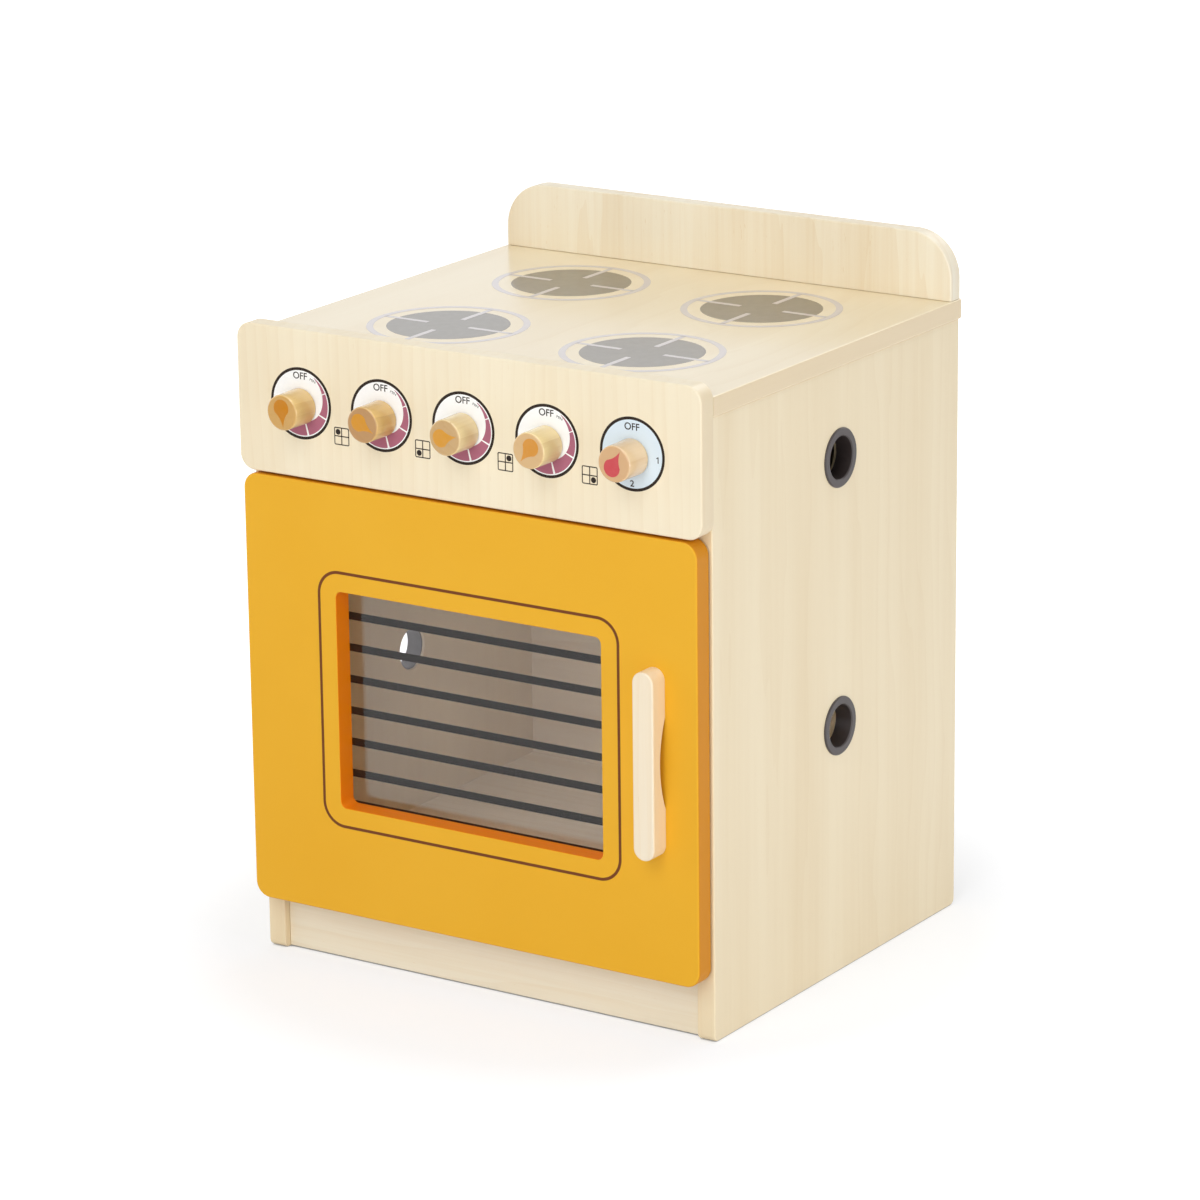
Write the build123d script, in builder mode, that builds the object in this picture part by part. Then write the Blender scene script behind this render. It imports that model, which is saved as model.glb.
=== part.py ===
from build123d import *
import os

os.makedirs("parts", exist_ok=True)

# Toy oven: a wooden play cooker with five turning knobs and a windowed door.
# Millimetres. The origin is on the floor, under the middle of the whole footprint.
# The front faces -Y, +X is the right-hand side and +Z is up.

# ---------------------------------------------------------------- driving sizes
board = 15.0                  # side panels, worktop, plinth, floor and divider
front_board = 16.0            # control panel, door and handle
worktop_width = 400.0
worktop_depth = 352.0
worktop_height = 478.0
worktop_overhang = 1.5        # past each side panel
side_depth = 350.0
knob_reach = 24.0             # knob face in front of the control panel

panel_bottom = 377.0
panel_top = 488.0
board_corner = 12.0           # corner radius of the control panel and the door

door_width = 393.0
door_bottom = 45.5
door_height = 330.0
door_gap = 1.5                # air between the door and the side panels

window_width = 231.0
window_height = 166.5
window_corner = 5.0
window_raise = 1.5            # window middle above the middle of the door

backsplash_width = 398.0
backsplash_height = 51.0
backsplash_thickness = 14.0
backsplash_corner = 35.0
backsplash_rear_inset = 1.5   # worktop edge left free behind the backsplash

plinth_height = 47.5
plinth_lift = 1.0             # the side panels alone stand on the floor
plinth_inset = 6.0
joint_line = 0.2              # fine gap left where two eased boards meet
divider_bottom = 355.0
divider_inset = 2.0
side_lower_corner = 5.0
back_thickness = 5.0
back_groove_depth = 5.0
back_front = 339.5            # front face of the back panel, behind the side fronts
back_bottom = 30.0

link_hole_depth = 175.0       # link hole axis, behind the side fronts
link_hole_heights = (191.5, 395.0)
link_bore = 16.0              # radius that stays open through a grommet
link_lip = 16.5               # radius of the wooden lip behind it
sleeve_radius = 18.0
sleeve_length = 12.5          # ends short of the board's inner face
flange_radius = 22.2

knob_pitch = 71.5
knob_height = 431.2
knob_base_radius = 13.5
knob_face_radius = 13.2

handle_x = 160.5
handle_width = 17.5
handle_length = 140.0
finger_depth = 7.0
finger_length = 68.0

# ------------------------------------------------------------- worked-out places
overall_depth = worktop_depth + front_board + knob_reach
front_y = knob_reach + front_board - overall_depth / 2
panel_front_y = front_y - front_board
side_outer = worktop_width / 2 - worktop_overhang
side_inner = side_outer - board
side_middle = side_outer - board / 2
worktop_bottom = worktop_height - board
divider_top = divider_bottom + board
door_rear_y = front_y - door_gap
door_front_y = door_rear_y - front_board
door_top = door_bottom + door_height
window_middle = door_bottom + door_height / 2 + window_raise
back_y = front_y + back_front
link_y = front_y + link_hole_depth
knob_positions = [(column - 2) * knob_pitch for column in range(5)]
knob_face_y = panel_front_y - knob_reach
backsplash_front_y = front_y + worktop_depth - backsplash_rear_inset - backsplash_thickness

edge_round = 1.2              # softened board edges
front_round = 1.5             # front edges of the control panel and the door
rear_round = 0.8              # their rear edges
eased_edge = 0.4              # board edges just broken with sandpaper
slack = 0.2                   # room for a part let into a board


def middle(low, high):
    """The middle of a span."""
    return (low + high) / 2


def keep(builder, label):
    """Label a finished piece and write its file."""
    builder.part.label = label
    export_step(builder.part, f"parts/{label}.step")


def block(low, high):
    """A plain box between two corners, added to the open part."""
    centre = [middle(a, b) for a, b in zip(low, high)]
    size = [b - a for a, b in zip(low, high)]
    with Locations(tuple(centre)):
        Box(*size)


def pocket(low, high):
    """A box cut out of the open part between two corners."""
    centre = [middle(a, b) for a, b in zip(low, high)]
    size = [b - a for a, b in zip(low, high)]
    with Locations(tuple(centre)):
        Box(*size, mode=Mode.SUBTRACT)


def rod(start, direction, radius, length, mode=Mode.ADD):
    """A round rod, or a round hole, from a start point along a direction."""
    with BuildSketch(Plane(origin=start, z_dir=direction)) as section:
        Circle(radius)
    extrude(section.sketch, amount=length, mode=mode)


# --------------------------------------------------------------- hidden fixings
# Wooden dowels and cam fittings join the boards from inside, so that no fixing
# shows on an outer face. Each entry is a start point and a direction.
dowel_radius = 3.0
dowel_length = 30.0
dowel_bite = 10.0             # part of a dowel that sits in the first board
shelf_dowel_depths = (30.0, 318.0)
worktop_dowel_depths = (30.0, 130.0, 322.0)
plinth_dowel_heights = (14.0, 34.0)
panel_dowel_heights = (395.0, 440.0)
panel_dowel_columns = (-120.0, 0.0, 120.0)
backsplash_dowel_columns = (-150.0, -50.0, 50.0, 150.0)
cam_depths = (62.0, 288.0)
floor_middle = plinth_height + board / 2
divider_middle = divider_bottom + board / 2
plinth_middle_y = front_y + plinth_inset + board / 2
backsplash_middle_y = backsplash_front_y + backsplash_thickness / 2
backsplash_bite = 9.0

dowels = []
for side in (-1, 1):
    for height in (floor_middle, divider_middle):
        for depth in shelf_dowel_depths:
            start = (side * (side_inner + dowel_bite), front_y + depth, height)
            dowels.append((start, (-side, 0, 0)))
    for depth in worktop_dowel_depths:
        start = (side * side_middle, front_y + depth, worktop_bottom + dowel_bite)
        dowels.append((start, (0, 0, -1)))
    for height in plinth_dowel_heights:
        start = (side * (side_inner + dowel_bite), plinth_middle_y, height)
        dowels.append((start, (-side, 0, 0)))
    for height in panel_dowel_heights:
        dowels.append(((side * side_middle, front_y - dowel_bite, height), (0, 1, 0)))
for x in panel_dowel_columns:
    start = (x, front_y - dowel_bite, worktop_height - board / 2)
    dowels.append((start, (0, 1, 0)))
for x in backsplash_dowel_columns:
    start = (x, backsplash_middle_y, worktop_height - backsplash_bite)
    dowels.append((start, (0, 0, 1)))


def dowel_holes():
    """Blind holes for every dowel; each board is cut only where one reaches it."""
    for start, direction in dowels:
        rod(start, direction, dowel_radius, dowel_length, mode=Mode.SUBTRACT)


# A cam bolt screws into one board, and a cam lock in the next board pulls on it.
cam_radius = 7.5
cam_thickness = 12.0
cam_reach = 34.0              # joint face to the middle of the cam lock
bolt_bite = 11.0
bolt_radius = 2.5
bolt_head_radius = 3.2
bolt_head_length = 3.0
bolt_hole_radius = 3.6

cam_joints = []               # joint point, bolt direction, cam centre, cam face direction
for side in (-1, 1):
    for depth in cam_depths:
        y = front_y + depth
        for height, face, face_way in (
            (floor_middle, plinth_height, -1),
            (divider_middle, divider_top, 1),
        ):
            cam_joints.append((
                (side * side_inner, y, height),
                (-side, 0, 0),
                (side * (side_inner - cam_reach), y, face),
                (0, 0, face_way),
            ))
        cam_joints.append((
            (side * side_middle, y, worktop_bottom),
            (0, 0, -1),
            (side * side_inner, y, worktop_bottom - cam_reach),
            (-side, 0, 0),
        ))


def against(direction):
    """The opposite direction."""
    return tuple(-value for value in direction)


def cam_holes():
    """The bolt holes and cam pockets; each board is cut only where one reaches it."""
    for joint, along, cam_face, face_way in cam_joints:
        rod(joint, against(along), bolt_radius, bolt_bite, mode=Mode.SUBTRACT)
        rod(joint, along, bolt_hole_radius, cam_reach, mode=Mode.SUBTRACT)
        rod(cam_face, against(face_way), cam_radius, cam_thickness, mode=Mode.SUBTRACT)


# ------------------------------------------------------------------ hinge places
# Two small butt hinges lie in the gap behind the door's left edge, half let into
# the door and the side panel. Their common axis is the door's joint.
hinge_outset = 0.7            # hinge axis, beyond the door's left edge
hinge_x = -(door_width / 2 + hinge_outset)
hinge_y = front_y - door_gap / 2
hinge_length = 50.0
hinge_from_edge = 45.0
hinge_heights = (door_bottom + hinge_from_edge, door_top - hinge_from_edge)
hinge_names = ("lower", "upper")
knuckle_radius = 2.5
knuckle_room = 2.9            # radius kept free round the knuckles
knuckle_gap = 0.3
middle_knuckle = 16.4
hinge_pin_radius = 1.2
hinge_bore_radius = 1.25      # running fit in the door's knuckle
pin_head_radius = 1.8
pin_head_length = 0.8
leaf_thickness = 0.9
leaf_let_in = 0.35
leaf_reach = 12.5             # hinge axis to the free edge of a leaf
leaf_end_x = hinge_x + leaf_reach
leaf_screw_x = middle(hinge_x + knuckle_room, leaf_end_x)
leaf_screw_steps = (-17.0, 0.0, 17.0)
leaf_screw_radius = 1.2
leaf_screw_head = 2.1
leaf_screw_length = 11.0
frame_leaf_y = front_y + leaf_let_in - leaf_thickness     # front face of the frame leaf
door_leaf_y = door_rear_y - leaf_let_in + leaf_thickness  # rear face of the door leaf


def hinge_room(board_face_y, into):
    """Cut a board for both hinges: knuckle groove, leaf recess and screw holes."""
    for height in hinge_heights:
        reach = hinge_length / 2 + pin_head_length + slack
        rod((hinge_x, hinge_y, height - reach), (0, 0, 1), knuckle_room, 2 * reach,
            mode=Mode.SUBTRACT)
        recess_y = board_face_y + into * leaf_let_in
        half = hinge_length / 2 + slack
        pocket(
            (hinge_x, min(board_face_y, recess_y), height - half),
            (leaf_end_x + slack, max(board_face_y, recess_y), height + half),
        )
        for step in leaf_screw_steps:
            rod((leaf_screw_x, board_face_y, height + step), (0, into, 0),
                leaf_screw_radius, leaf_screw_length, mode=Mode.SUBTRACT)


# ------------------------------------------------------------------- side panels
def link_hole(side, height):
    """A through hole, wider from outside to take the sleeve of its grommet."""
    inner_face = (side * side_inner, link_y, height)
    outer_face = (side * side_outer, link_y, height)
    rod(inner_face, (side, 0, 0), link_lip, board, mode=Mode.SUBTRACT)
    rod(outer_face, (-side, 0, 0), sleeve_radius, sleeve_length + slack, mode=Mode.SUBTRACT)


def side_panel(side):
    """One side board: soft edges, round lower corners, link holes, back groove."""
    with BuildPart() as panel:
        with BuildSketch(Plane.YZ.offset(side * side_middle - board / 2)):
            with Locations((front_y + side_depth / 2, worktop_bottom / 2)):
                outline = Rectangle(side_depth, worktop_bottom)
            fillet(outline.vertices().group_by(Axis.Y)[0], radius=side_lower_corner)
        extrude(amount=board)
        top_edges = panel.faces().sort_by(Axis.Z)[-1].edges()
        outer = panel.faces().sort_by(Axis.X)[0].edges() + panel.faces().sort_by(Axis.X)[-1].edges()
        fillet([edge for edge in outer if edge not in top_edges], radius=edge_round)
        for height in link_hole_heights:
            link_hole(side, height)
        inner_face = panel.faces().sort_by(Axis.X)[0 if side > 0 else -1]
        fillet([edge for wire in inner_face.inner_wires() for edge in wire.edges()],
               radius=rear_round)
        groove_ends = sorted((side * side_inner, side * (side_inner + back_groove_depth)))
        pocket(
            (groove_ends[0], back_y, 0),
            (groove_ends[1], back_y + back_thickness, worktop_bottom),
        )
        dowel_holes()
        cam_holes()
        if side < 0:
            hinge_room(front_y, 1)
        else:
            catch_screw_holes()
    return panel


# ---------------------------------------------------------- magnetic catch places
# The catch sits inside the cavity at the upper right and holds the closed door by
# a steel strike plate on the door's rear face.
catch_width = 14.0
catch_length = 46.0
catch_height = 325.0
catch_front_y = front_y + 1.0
catch_rear_y = front_y + 16.0
catch_screw_y = front_y + 9.0
catch_screw_steps = (-18.0, 18.0)
catch_x = side_inner - catch_width / 2
magnet_length = 26.0
magnet_width = 6.0
magnet_depth = 9.0
pole_thickness = 1.5
pole_front_y = front_y + 0.2
small_screw_radius = 1.5
small_screw_head = 2.8
small_screw_head_height = 1.8
catch_screw_bite = 10.0


def catch_screw_holes():
    """Pilot holes for the two catch screws in the right side panel."""
    for step in catch_screw_steps:
        rod((side_inner, catch_screw_y, catch_height + step), (1, 0, 0),
            small_screw_radius, catch_screw_bite, mode=Mode.SUBTRACT)


left_side = side_panel(-1)
keep(left_side, "left_side_panel")
right_side = side_panel(1)
keep(right_side, "right_side_panel")

# ------------------------------------------------------------------ worktop board
worktop_rear_corner = 2.0
back_half_width = side_inner + back_groove_depth - slack
with BuildPart() as worktop:
    block(
        (-worktop_width / 2, front_y, worktop_bottom),
        (worktop_width / 2, front_y + worktop_depth, worktop_height),
    )
    rear_corners = worktop.edges().filter_by(Axis.Z).group_by(Axis.Y)[-1]
    fillet(rear_corners, radius=worktop_rear_corner)
    front_edges = worktop.faces().sort_by(Axis.Y)[0].edges()
    rims = worktop.faces().sort_by(Axis.Z)[0].edges() + worktop.faces().sort_by(Axis.Z)[-1].edges()
    fillet([edge for edge in rims if edge not in front_edges], radius=edge_round)
    pocket(
        (-back_half_width - slack, back_y, worktop_bottom),
        (back_half_width + slack, back_y + back_thickness, worktop_bottom + back_groove_depth),
    )
    dowel_holes()
    cam_holes()
keep(worktop, "worktop")

# --------------------------------------------------------------------- backsplash
with BuildPart() as backsplash:
    with BuildSketch(Plane.XZ.offset(-backsplash_front_y)):
        with Locations((0, worktop_height + middle(joint_line, backsplash_height))):
            outline = Rectangle(backsplash_width, backsplash_height - joint_line)
        fillet(outline.vertices().group_by(Axis.Y)[-1], radius=backsplash_corner)
    extrude(amount=-backsplash_thickness)
    bottom_edges = backsplash.faces().sort_by(Axis.Z)[0].edges()
    rims = backsplash.faces().filter_by(Axis.Y).edges()
    fillet([edge for edge in rims if edge not in bottom_edges], radius=edge_round)
    fillet(backsplash.faces().sort_by(Axis.Z)[0].edges().filter_by(Axis.X), radius=eased_edge)
    dowel_holes()
keep(backsplash, "backsplash")

# ------------------------------------------------------------------ control panel
bush_radius = 4.0
with BuildPart() as control_panel:
    with BuildSketch(Plane.XZ.offset(-front_y)):
        with Locations((0, middle(panel_bottom, panel_top))):
            RectangleRounded(worktop_width, panel_top - panel_bottom, board_corner)
    extrude(amount=front_board)
    fillet(control_panel.faces().sort_by(Axis.Y)[0].edges(), radius=front_round)
    fillet(control_panel.faces().sort_by(Axis.Y)[-1].edges(), radius=rear_round)
    for x in knob_positions:
        start = (x, front_y, knob_height)
        rod(start, (0, -1, 0), bush_radius, front_board, mode=Mode.SUBTRACT)
    dowel_holes()
keep(control_panel, "control_panel")

# ------------------------------------------------------ plinth, floor and divider
plinth_half = side_inner - joint_line
with BuildPart() as plinth:
    block(
        (-plinth_half, front_y + plinth_inset, plinth_lift),
        (plinth_half, front_y + plinth_inset + board, plinth_height),
    )
    fillet(plinth.faces().sort_by(Axis.Y)[0].edges(), radius=eased_edge)
    dowel_holes()
keep(plinth, "plinth")


def shelf(label, bottom, inset):
    """A full-width shelf between the side panels, up to the back panel."""
    with BuildPart() as board_part:
        block(
            (-side_inner, front_y + inset, bottom),
            (side_inner, back_y, bottom + board),
        )
        front_edges = board_part.faces().sort_by(Axis.Y)[0].edges().filter_by(Axis.X)
        fillet(front_edges, radius=edge_round)
        dowel_holes()
        cam_holes()
        for x in back_screw_positions:
            rod((x, back_y, bottom + board / 2), (0, -1, 0), small_screw_radius,
                back_screw_bite, mode=Mode.SUBTRACT)
    keep(board_part, label)


back_screw_positions = (-120.0, 0.0, 120.0)
back_screw_bite = 17.0        # pilot hole in the board behind the thin back
back_screw_length = 20.0
shelf("oven_floor", plinth_height, plinth_inset)
shelf("oven_divider", divider_bottom, divider_inset)

# --------------------------------------------------------------------- back panel
with BuildPart() as back_panel:
    block(
        (-back_half_width, back_y, back_bottom),
        (back_half_width, back_y + back_thickness, worktop_bottom + back_groove_depth - slack),
    )
    for x in back_screw_positions:
        for height in (floor_middle, divider_middle):
            rod((x, back_y, height), (0, 1, 0), small_screw_radius, back_thickness,
                mode=Mode.SUBTRACT)
keep(back_panel, "back_panel")


def cross_recess(top, along, width):
    """A cross slot sunk into a screw head; along points out of the head."""
    depth = 1.0
    arm = 0.6
    with BuildSketch(Plane(origin=top, z_dir=along)) as cross:
        Rectangle(width, arm)
        Rectangle(arm, width)
    extrude(cross.sketch, amount=-depth, mode=Mode.SUBTRACT)


def pan_screw(face, into, radius, length, head_radius, head_height):
    """A pan-head screw whose head rests on the face point and whose shank goes in."""
    out = against(into)
    rod(face, into, radius, length)
    rod(face, out, head_radius, head_height)
    top = tuple(a + b * head_height for a, b in zip(face, out))
    cross_recess(top, out, head_radius * 1.1)


with BuildPart() as back_panel_screws:
    for x in back_screw_positions:
        for height in (floor_middle, divider_middle):
            pan_screw(
                (x, back_y + back_thickness, height), (0, -1, 0), small_screw_radius,
                back_screw_length, small_screw_head, small_screw_head_height,
            )
keep(back_panel_screws, "back_panel_screws")

# -------------------------------------------------------------- dowels and cams
with BuildPart() as wood_dowels:
    for start, direction in dowels:
        rod(start, direction, dowel_radius, dowel_length)
keep(wood_dowels, "wood_dowels")

with BuildPart() as cam_bolts:
    for joint, along, cam_face, face_way in cam_joints:
        rod(joint, against(along), bolt_radius, bolt_bite)
        rod(joint, along, bolt_radius, cam_reach - bolt_head_length)
        head = tuple(a + b * (cam_reach - bolt_head_length) for a, b in zip(joint, along))
        rod(head, along, bolt_head_radius, bolt_head_length)
keep(cam_bolts, "cam_bolts")

with BuildPart() as cam_locks:
    for joint, along, cam_face, face_way in cam_joints:
        rod(cam_face, against(face_way), cam_radius, cam_thickness)
        rod(joint, along, bolt_hole_radius, cam_reach + bolt_head_length, mode=Mode.SUBTRACT)
        cross_recess(cam_face, face_way, cam_radius)
keep(cam_locks, "cam_locks")

# ----------------------------------------------------------------------- grommets
# A push-in plastic sleeve lines each link hole: its flange covers the edge outside,
# and it ends a little short of the inner face of the board.
flange_thickness = worktop_overhang
flange_bevel = 0.8


def grommet(side, height):
    """One grommet, turned about its own axis from a half section."""
    def across(depth, radius):
        return (side * depth, link_y + radius)

    section = [
        (side_outer + flange_thickness, link_bore + flange_bevel),
        (side_outer + flange_thickness, flange_radius - flange_bevel),
        (side_outer + flange_thickness - flange_bevel, flange_radius),
        (side_outer, flange_radius),
        (side_outer, sleeve_radius),
        (side_outer - sleeve_length, sleeve_radius),
        (side_outer - sleeve_length, link_bore),
        (side_outer + flange_thickness - flange_bevel, link_bore),
    ]
    with BuildPart() as sleeve:
        with BuildSketch(Plane.XY.offset(height)):
            with BuildLine():
                Polyline([across(depth, radius) for depth, radius in section], close=True)
            make_face()
        revolve(axis=Axis((0, link_y, height), (1, 0, 0)))
    return sleeve


for side, side_name in ((-1, "left"), (1, "right")):
    for height, height_name in zip(link_hole_heights, ("lower", "upper")):
        keep(grommet(side, height), f"{height_name}_{side_name}_grommet")

# --------------------------------------------------------------------------- door
pane_width = 262.0
pane_height = 197.0
pane_thickness = 3.0
pane_screw_steps_x = (-124.5, 0.0, 124.5)
pane_screw_steps_z = (-92.0, 0.0, 92.0)
pane_screw_length = 12.0
pane_screw_radius = 1.4
pane_hole_radius = 1.6
pane_screws_at = [
    (x, window_middle + z)
    for x in pane_screw_steps_x
    for z in pane_screw_steps_z
    if (x, z) != (0.0, 0.0)
]
handle_height = 211.0
handle_screw_steps = (-53.0, 53.0)
handle_screw_radius = 2.0
handle_screw_room = 2.2
handle_screw_bite = 11.0
handle_washer_radius = 4.5
handle_washer_thickness = 0.8
handle_head_radius = 3.8
handle_head_height = 2.2
counterbore_depth = 3.4
strike_width = 13.0
strike_length = 34.0
strike_corner = 1.5
strike_thickness = 1.2
strike_screw_head = 2.6
strike_screw_length = 12.0

with BuildPart() as door_panel:
    with BuildSketch(Plane.XZ.offset(-door_rear_y)):
        with Locations((0, door_bottom + door_height / 2)):
            RectangleRounded(door_width, door_height, board_corner)
    extrude(amount=front_board)
    fillet(door_panel.faces().sort_by(Axis.Y)[0].edges(), radius=front_round)
    fillet(door_panel.faces().sort_by(Axis.Y)[-1].edges(), radius=rear_round)
    with BuildSketch(Plane.XZ.offset(-door_rear_y)):
        with Locations((0, window_middle)):
            RectangleRounded(window_width, window_height, window_corner)
    extrude(amount=front_board, mode=Mode.SUBTRACT)
    front_face = door_panel.faces().sort_by(Axis.Y)[0]
    fillet(front_face.inner_wires()[0].edges(), radius=rear_round)
    hinge_room(door_rear_y, -1)
    for x, z in pane_screws_at:
        rod((x, door_rear_y, z), (0, -1, 0), pane_screw_radius,
            pane_screw_length - pane_thickness, mode=Mode.SUBTRACT)
    for step in handle_screw_steps:
        start = (handle_x, door_rear_y, handle_height + step)
        rod(start, (0, -1, 0), handle_screw_room, front_board, mode=Mode.SUBTRACT)
        rod(start, (0, -1, 0), handle_washer_radius, counterbore_depth, mode=Mode.SUBTRACT)
    rod((catch_x, door_rear_y, catch_height), (0, -1, 0), small_screw_radius,
        strike_screw_length - strike_thickness, mode=Mode.SUBTRACT)
keep(door_panel, "door_panel")

with BuildPart() as window_pane:
    with BuildSketch(Plane.XZ.offset(-door_rear_y)):
        with Locations((0, window_middle)):
            RectangleRounded(pane_width, pane_height, window_corner)
    extrude(amount=-pane_thickness)
    for x, z in pane_screws_at:
        rod((x, door_rear_y, z), (0, 1, 0), pane_hole_radius, pane_thickness,
            mode=Mode.SUBTRACT)
keep(window_pane, "window_pane")

with BuildPart() as pane_screws:
    for x, z in pane_screws_at:
        pan_screw(
            (x, door_rear_y + pane_thickness, z), (0, -1, 0), pane_screw_radius,
            pane_screw_length, small_screw_head, small_screw_head_height,
        )
keep(pane_screws, "pane_screws")

# ------------------------------------------------------------------------- handle
handle_round = 1.4
finger_radius = ((finger_length / 2) ** 2 + finger_depth**2) / (2 * finger_depth)
with BuildPart() as door_handle:
    with BuildSketch(Plane.XZ.offset(-door_front_y)):
        with Locations((handle_x, handle_height)):
            SlotOverall(handle_length, handle_width, rotation=90)
    extrude(amount=front_board)
    fillet(door_handle.faces().sort_by(Axis.Y)[0].edges(), radius=handle_round)
    grip_y = door_front_y - finger_depth + finger_radius
    start = (handle_x - handle_width, grip_y, handle_height)
    rod(start, (1, 0, 0), finger_radius, 2 * handle_width, mode=Mode.SUBTRACT)
    for step in handle_screw_steps:
        rod((handle_x, door_front_y, handle_height + step), (0, -1, 0),
            handle_screw_radius, handle_screw_bite, mode=Mode.SUBTRACT)
keep(door_handle, "door_handle")

washer_seat_y = door_rear_y - counterbore_depth
with BuildPart() as handle_washers:
    for step in handle_screw_steps:
        start = (handle_x, washer_seat_y, handle_height + step)
        rod(start, (0, 1, 0), handle_washer_radius - slack, handle_washer_thickness)
        rod(start, (0, 1, 0), handle_screw_room, handle_washer_thickness, mode=Mode.SUBTRACT)
keep(handle_washers, "handle_washers")

with BuildPart() as handle_screws:
    shank = front_board - counterbore_depth + handle_screw_bite + handle_washer_thickness
    for step in handle_screw_steps:
        pan_screw(
            (handle_x, washer_seat_y + handle_washer_thickness, handle_height + step),
            (0, -1, 0), handle_screw_radius, shank, handle_head_radius, handle_head_height,
        )
keep(handle_screws, "handle_screws")


# ------------------------------------------------------------------------- hinges
def knuckle_spans(frame):
    """Height spans of a leaf's knuckles about the hinge's middle."""
    inner = middle_knuckle / 2
    outer = hinge_length / 2
    if frame:
        return [(-outer, -inner - knuckle_gap), (inner + knuckle_gap, outer)]
    return [(-inner, inner)]


def hinge_leaf(height, frame):
    """A leaf: flat plate cut back round the pin, with its own knuckles and screw holes."""
    low_y = frame_leaf_y if frame else door_leaf_y - leaf_thickness
    half = hinge_length / 2
    bore = hinge_pin_radius if frame else hinge_bore_radius
    with BuildPart() as leaf:
        block(
            (hinge_x, low_y, height - half),
            (leaf_end_x, low_y + leaf_thickness, height + half),
        )
        rod((hinge_x, hinge_y, height - half), (0, 0, 1), knuckle_room, hinge_length,
            mode=Mode.SUBTRACT)
        for low, high in knuckle_spans(frame):
            block(
                (hinge_x + hinge_pin_radius, low_y, height + low),
                (hinge_x + knuckle_room + slack, low_y + leaf_thickness, height + high),
            )
            rod((hinge_x, hinge_y, height + low), (0, 0, 1), knuckle_radius, high - low)
        rod((hinge_x, hinge_y, height - half), (0, 0, 1), bore, hinge_length,
            mode=Mode.SUBTRACT)
        for step in leaf_screw_steps:
            leaf_screw(height + step, frame, mode=Mode.SUBTRACT)
    return leaf


def leaf_screw(height, frame, mode=Mode.ADD):
    """A countersunk screw, flush with the leaf, or the hole that it fits."""
    head_y = frame_leaf_y if frame else door_leaf_y
    into = 1 if frame else -1
    with BuildSketch(Plane.XY.offset(height)) as half_section:
        with BuildLine():
            Polyline(
                [
                    (leaf_screw_x, head_y),
                    (leaf_screw_x + leaf_screw_head, head_y),
                    (leaf_screw_x + leaf_screw_radius, head_y + into * leaf_thickness),
                    (leaf_screw_x + leaf_screw_radius, head_y + into * leaf_screw_length),
                    (leaf_screw_x, head_y + into * leaf_screw_length),
                ],
                close=True,
            )
        make_face()
    revolve(half_section.sketch, axis=Axis((leaf_screw_x, 0, height), (0, 1, 0)), mode=mode)


for height, name in zip(hinge_heights, hinge_names):
    keep(hinge_leaf(height, True), f"{name}_hinge_frame_leaf")
    keep(hinge_leaf(height, False), f"{name}_hinge_door_leaf")
    with BuildPart() as hinge_pin:
        half = hinge_length / 2
        rod((hinge_x, hinge_y, height - half), (0, 0, 1), hinge_pin_radius, hinge_length)
        rod((hinge_x, hinge_y, height + half), (0, 0, 1), pin_head_radius, pin_head_length)
        rod((hinge_x, hinge_y, height - half), (0, 0, -1), pin_head_radius, pin_head_length)
    keep(hinge_pin, f"{name}_hinge_pin")

slot_depth = 0.4
slot_length = 2.2
slot_width = 0.5
for frame, label in ((True, "hinge_frame_screws"), (False, "hinge_door_screws")):
    with BuildPart() as leaf_screws:
        for height in hinge_heights:
            for step in leaf_screw_steps:
                leaf_screw(height + step, frame)
                head_y = frame_leaf_y if frame else door_leaf_y
                out = (0, -1, 0) if frame else (0, 1, 0)
                with BuildSketch(Plane(origin=(leaf_screw_x, head_y, height + step), z_dir=out)):
                    Rectangle(slot_length, slot_width)
                    Rectangle(slot_width, slot_length)
                extrude(amount=-slot_depth, mode=Mode.SUBTRACT)
    keep(leaf_screws, label)

# ----------------------------------------------------------------- magnetic catch
magnet_sink = 0.4
catch_round = 2.0
magnet_front_y = catch_front_y + magnet_sink
with BuildPart() as catch_housing:
    block(
        (catch_x - catch_width / 2, catch_front_y, catch_height - catch_length / 2),
        (side_inner, catch_rear_y, catch_height + catch_length / 2),
    )
    fillet(catch_housing.edges().filter_by(Axis.Y).group_by(Axis.X)[0], radius=catch_round)
    magnet_half = magnet_width / 2 + pole_thickness
    pocket(
        (catch_x - magnet_half, catch_front_y, catch_height - magnet_length / 2),
        (catch_x + magnet_half, magnet_front_y + magnet_depth, catch_height + magnet_length / 2),
    )
    for step in catch_screw_steps:
        rod((catch_x - catch_width / 2, catch_screw_y, catch_height + step), (1, 0, 0),
            small_screw_radius, catch_width, mode=Mode.SUBTRACT)
keep(catch_housing, "catch_housing")

with BuildPart() as catch_magnet:
    block(
        (catch_x - magnet_width / 2, magnet_front_y, catch_height - magnet_length / 2),
        (catch_x + magnet_width / 2, magnet_front_y + magnet_depth, catch_height + magnet_length / 2),
    )
keep(catch_magnet, "catch_magnet")

with BuildPart() as catch_pole_plates:
    for way in (-1, 1):
        ends = sorted((way * magnet_width / 2, way * (magnet_width / 2 + pole_thickness)))
        block(
            (catch_x + ends[0], pole_front_y, catch_height - magnet_length / 2),
            (catch_x + ends[1], magnet_front_y + magnet_depth, catch_height + magnet_length / 2),
        )
keep(catch_pole_plates, "catch_pole_plates")

with BuildPart() as catch_screws:
    for step in catch_screw_steps:
        pan_screw(
            (catch_x - catch_width / 2, catch_screw_y, catch_height + step), (1, 0, 0),
            small_screw_radius, catch_width + catch_screw_bite, small_screw_head,
            small_screw_head_height,
        )
keep(catch_screws, "catch_screws")


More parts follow.
